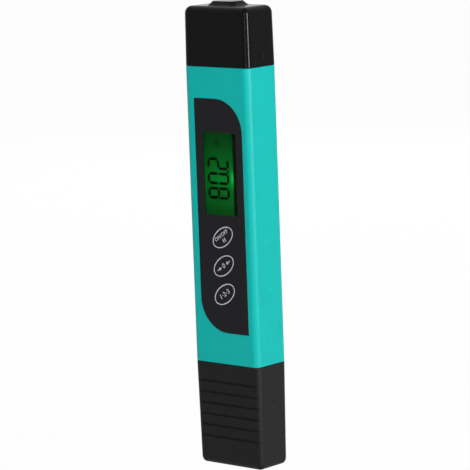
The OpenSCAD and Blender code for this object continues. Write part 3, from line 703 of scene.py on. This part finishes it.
# Each key's words, their size, where they sit across and up from its middle, and its symbols
legends = {
    "mode": ("1·2·3", 2.35, 0.0, 0.0, []),
    "clear": ("0", 2.35, 0.0, 0.0, [arrow(way * 3.3, way * 1.2, w=0.3, head=1.0) for way in (-1, 1)]),
    "power": ("ON/OFF", 1.75, -0.2, 0.85, bars((-0.42, 0.42), w=0.36, h=1.35, v=-1.05)),
}
for name, z in zip(key_names, key_z):
    key = plate(f"{name}_key_plate", [oval(z, 0)], key_face_y, key_flange_y + key_edge, key_edge)
    join(key, [
        plate("flange", [oval(z, key_flange)], key_flange_y, key_flange_y + key_flange_t, key_edge),
        plate("boss", [circle(key_x, z, key_boss_r, 48)], key_flange_y, key_tip_y, key_edge)])
    settle(key, key_finish)
    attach(key, f"{name}_key")
    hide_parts(f"key_{name}")
    rim_ring = plate(
        f"{name}_key_ring", [oval(z, -ring_inset), oval(z, -ring_inset - ring_w)[::-1]],
        key_face_y - ink_t, key_face_y, 0.0)
    settle(rim_ring, ring_grey)
    words, size, u, v, symbols = legends[name]
    legend = lettering(f"{name}_key_legend", words, size, u, v, z)
    join(legend, [
        upright_slab("symbol", turned(points, z), key_face_y - ink_t, key_face_y) for points in symbols])
    settle(legend, legend_ink)
    for ink in (rim_ring, legend):
        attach(ink, f"{name}_key")


# Switches: three push switches soldered to the board, in black plastic, each with a pale stem
# that a key presses.
stem_finish = moulded(
    "stem_plastic", (0.8, 0.78, 0.7), rough=0.45, shine=0.4, grain=0.3, grain_depth=0.003)
for name in key_names:
    dress(f"stem_{name}", stem_finish)
dress("switch_bodies", moulded(
    "switch_plastic", (0.03, 0.03, 0.03), rough=0.5, shine=0.3, grain=0.3, grain_depth=0.004))


# Circuit board: green-masked laminate with a chip under a drop of black resin, a timing crystal in
# its can and small ceramic parts, slid between the tube's ribs; two screws hold the frame to it.
def metal(name, colour, rough, brush, brush_depth):
    """Metal with fine lines along one direction, from rolling, turning or drawing it."""
    material = bpy.data.materials.new(name)
    material.use_nodes = True
    tree = material.node_tree
    shader = tree.nodes["Principled BSDF"]
    shader.inputs["Metallic"].default_value = 1.0
    place = add(tree, "ShaderNodeTexCoord").outputs["Object"]
    along = add(tree, "ShaderNodeMapping", {"Vector": place, "Scale": brush})
    lines = add(tree, "ShaderNodeTexNoise", {"Vector": along.outputs[0], "Scale": 1000.0, "Detail": 3.0})
    stain = add(tree, "ShaderNodeTexNoise", {"Vector": place, "Scale": 220.0, "Detail": 2.0})
    tone = blend_colour(tree, stain.outputs["Fac"], tint(colour, 0.88), tint(colour, 1.08))
    tree.links.new(tone, shader.inputs["Base Color"])
    gloss = add(tree, "ShaderNodeMapRange", {
        "Value": lines.outputs["Fac"], "To Min": rough - 0.06, "To Max": rough + 0.08})
    tree.links.new(gloss.outputs[0], shader.inputs["Roughness"])
    bump = add(tree, "ShaderNodeBump", {
        "Height": lines.outputs["Fac"], "Strength": 0.5, "Distance": brush_depth * mm})
    tree.links.new(bump.outputs[0], shader.inputs["Normal"])
    return material


dress("circuit_board", moulded(
    "board_laminate", (0.01, 0.15, 0.05), rough=0.35, shine=0.4, grain=0.6, grain_depth=0.006, cloud=0.15))
dress("chip_cover", moulded(
    "chip_resin", (0.01, 0.01, 0.012), rough=0.2, shine=0.5, grain=1.2, grain_depth=0.01))
dress("crystal", metal(
    "bright_metal", (0.6, 0.61, 0.62), rough=0.25, brush=(3, 3, 0.2), brush_depth=0.002))
dress("board_parts", moulded(
    "component_ceramic", (0.45, 0.36, 0.22), rough=0.6, shine=0.3, grain=0.2, grain_depth=0.004, cloud=0.12))
dress("frame_screws", metal(
    "screw_steel", (0.35, 0.35, 0.36), rough=0.35, brush=(3, 0.3, 3), brush_depth=0.003))


# Battery holder: one black moulding that plugs into the tube and is the neck for the battery cap.
# Two steel button cells stand in its slot, between two brass contact strips that run down to the
# board and turn in to it.
dress("battery_holder", moulded(
    "holder_plastic", (0.012, 0.012, 0.013), rough=0.45, shine=0.25, grain=0.35, grain_depth=0.005))
contact_finish = metal(
    "contact_metal", (0.6, 0.5, 0.28), rough=0.28, brush=(3, 3, 0.15), brush_depth=0.002)
cell_finish = metal(
    "cell_steel", (0.62, 0.63, 0.64), rough=0.2, brush=(2, 2, 0.3), brush_depth=0.002)
for name in ("front", "rear"):
    dress(f"contact_{name}", contact_finish)
    dress(f"cell_{name}", cell_finish)


# Battery cap: moulded in black satin plastic, with drafted sides, a soft upper edge, a boss that
# flares out at its foot and a faint upright mark low on each narrow side. It pushes onto the
# holder's neck.
top_low, top_high = frame_box("battery_cap")
neck_low, neck_high = frame_box("battery_holder")
cap_fit = 0.1
cap_wall = 1.3
mouth_edge = 0.12
socket_spare = 0.5
hollow_step_w, hollow_step_d, hollow_corner_r = 3, 0.7, 1.5
socket_w = neck_high.x - neck_low.x + 2 * cap_fit
socket_d = neck_high.y - neck_low.y + 2 * cap_fit
socket = rounded(socket_w, socket_d, tube_corner_r - cap_wall + cap_fit)
boss_w, boss_d, boss_h = 13.0, 9.8, 1.5
# How far the boss's sides come in over its height, and how their rise speeds up as they do
boss_flare, flare_bend, flare_steps = 1.5, 1.3, 6
boss_corner_r, boss_corner_loss = 2.6, 0.4
boss_edge = 0.2
top_z0, top_z1 = top_low.z, top_high.z - boss_h
top_round = 2.5
top_draft = 0.25
side_steps = 8
roof_t = 1.6
mark_half_w, mark_half_h, mark_proud = 0.5, 1.7, 0.08
mark_y, mark_rise = 0.2, 3.2
satin_black = (0.0012, 0.0012, 0.0015)


def boss_ring(inset, z):
    """Ring round the boss where its flare has come in by a given amount."""
    corner_r = boss_corner_r - inset * boss_corner_loss
    return level(rounded(boss_w - 2 * inset, boss_d - 2 * inset, corner_r), z)


# Angles over a quarter turn
quarter = [math.radians(15 * k) for k in range(7)]
shoulder_z = top_z1 - top_round
neck_of_boss = boss_h - boss_edge
lip = [
    body_ring(mouth_edge * (1 - math.sin(a)), top_z0 + mouth_edge * (1 - math.cos(a)))
    for a in quarter[::2]]
sides = [
    body_ring(top_draft * k / side_steps, top_z0 + (shoulder_z - top_z0) * k / side_steps)
    for k in range(1, side_steps)]
crown = [
    body_ring(top_draft + top_round * (1 - math.cos(a)), shoulder_z + top_round * math.sin(a))
    for a in quarter]
flare = [
    boss_ring(boss_flare * k / flare_steps, top_z1 + neck_of_boss * (k / flare_steps) ** flare_bend)
    for k in range(flare_steps + 1)]
boss_top = [
    boss_ring(boss_flare + boss_edge * (1 - math.cos(a)), top_z1 + neck_of_boss + boss_edge * math.sin(a))
    for a in quarter[2::2]]
battery_cap = skin(
    "battery_cap_piece", [level(socket, top_z0)] + lip + sides + crown + flare + boss_top)
roof_hollow = rounded(socket_w - hollow_step_w, socket_d - hollow_step_d, hollow_corner_r)
carve(battery_cap, [
    skin("socket", [level(socket, top_z0 - overshoot), level(socket, neck_high.z + socket_spare)]),
    skin("roof hollow", [level(roof_hollow, top_z0), level(roof_hollow, top_z1 - roof_t)]),
])
mark_x = tube_w / 2 - top_draft * mark_rise / (top_z1 - top_z0)
join(battery_cap, [
    dome(side, mark_x, mark_y, top_z0 + mark_rise, mark_half_w, mark_half_h, mark_proud)
    for side in (-1, 1)])
settle(battery_cap, moulded(
    "battery_cap_plastic", satin_black, rough=0.18, shine=0.08, grain=0.6, grain_depth=0.002))
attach(battery_cap, "battery_cover")
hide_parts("battery_cap")


# Probe head: one black moulding that plugs into the tube and is the neck for the protective cap.
# Two turned electrodes and a steel sensor sheath stand out of its nose, sealed in by resin.
dress("probe_head", moulded(
    "head_plastic", (0.013, 0.013, 0.014), rough=0.42, shine=0.25, grain=0.35, grain_depth=0.005))
electrode_finish = metal(
    "electrode_metal", (0.42, 0.4, 0.37), rough=0.3, brush=(0.4, 0.4, 6), brush_depth=0.003)
for side in ("left", "right"):
    dress(f"electrode_{side}", electrode_finish)
dress("sensor_sheath", metal(
    "sheath_steel", (0.6, 0.61, 0.62), rough=0.16, brush=(3, 3, 0.2), brush_depth=0.001))
dress("head_seal", moulded(
    "seal_resin", (0.04, 0.035, 0.03), rough=0.35, shine=0.4, grain=1.5, grain_depth=0.02))
dress("probe_leads", moulded(
    "lead_insulation", (0.45, 0.04, 0.03), rough=0.5, shine=0.3, grain=0.3, grain_depth=0.004))


# Protective cap: a cup moulded in fine-grained black plastic, drafted towards its foot, with six
# grip ribs across its front and its back, a narrow groove under each, and a pip on each narrow
# side. It pushes onto the probe head's neck.
foot_len = frame_box("protective_cap")[1].z
foot_round_w, foot_round_h = 1.5, 2.2
foot_draft = 0.55
flank_count, flank_step = 5, 6
foot_floor = 1.6
foot_socket_z = 25.1
foot_step, cup_corner_r = 1.1, 1.5
grip_count, grip_pitch, grip_drop = 6, 3.77, 6.4
rib_end_gap = 0.1
# A rib's section, from its foot below to its foot above: how high and how far out each point lies
rib_section = ((0.1, -0.1), (0.11, 0.19), (0.15, 0.25), (0.22, 0.25), (0.28, 0.16), (0.34, -0.1))
groove_low, groove_high, groove_depth = -0.2, 0.12, 0.32
foot_pip_drop = 14.5
grained_black = (0.0054, 0.0054, 0.0062)


def foot_inset(z):
    """How far the protective cap's sides have come in at a height."""
    return foot_draft * (1 - z / foot_len)


def grip_rib(z):
    """Rib that fades out round the corners, because it is deeper than the cap but no wider."""
    w = tube_w - 2 * foot_inset(z) - 2 * rib_end_gap
    d = tube_d - 2 * foot_inset(z)
    return skin("rib", [
        level(rounded(w, d + 2 * out, tube_corner_r), z + lift) for lift, out in rib_section])


def grip_groove(z):
    """Cutter for the groove under a rib, which also fades out round the corners."""
    low, high = z + groove_low, z + groove_high
    w = tube_w - 2 * foot_inset(z) + 2 * groove_depth
    d = tube_d - 2 * foot_inset(z) - 2 * groove_depth
    core = rounded(w, d, tube_corner_r)
    outside = rounded(tube_w + 2 * overshoot, tube_d + 2 * overshoot, tube_corner_r)
    rings = [level(outside, low), level(outside, high), level(core, high), level(core, low)]
    return skin("groove", rings, tube=True)


foot_curve = [
    (foot_round_w * (1 - math.cos(a)), foot_round_h * (1 - math.sin(a))) for a in reversed(quarter)]
foot_rings = [body_ring(foot_inset(up) + back, up) for back, up in foot_curve]
flank_z = [(k + 1) * flank_step for k in range(flank_count)] + [foot_len - mouth_edge]
flanks = [body_ring(foot_inset(z), z) for z in flank_z]
rim = [
    body_ring(mouth_edge * (1 - math.cos(a)), foot_len - mouth_edge * (1 - math.sin(a)))
    for a in quarter[2::2]]
protective_cap = skin("protective_cap_piece", foot_rings + flanks + rim + [level(socket, foot_len)])
grip_z = [foot_len - grip_drop - k * grip_pitch for k in range(grip_count)]
cup = rounded(socket_w - 2 * foot_step, socket_d - 2 * foot_step, cup_corner_r)
carve(protective_cap, [
    skin("socket", [level(socket, foot_socket_z), level(socket, foot_len + overshoot)]),
    skin("cup", [level(cup, foot_floor), level(cup, foot_len)]),
    *[grip_groove(z) for z in grip_z],
])
foot_pip_z = foot_len - foot_pip_drop
foot_pip_x = tube_w / 2 - foot_inset(foot_pip_z)
join(protective_cap, [grip_rib(z) for z in grip_z] + [
    dome(side, foot_pip_x, 0, foot_pip_z, pip_d / 2, pip_d / 2, pip_h) for side in (-1, 1)])
settle(protective_cap, moulded(
    "protective_cap_plastic", grained_black, rough=0.52, shine=0.13, grain=0.35, grain_depth=0.012))
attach(protective_cap, "probe_cover")
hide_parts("protective_cap")
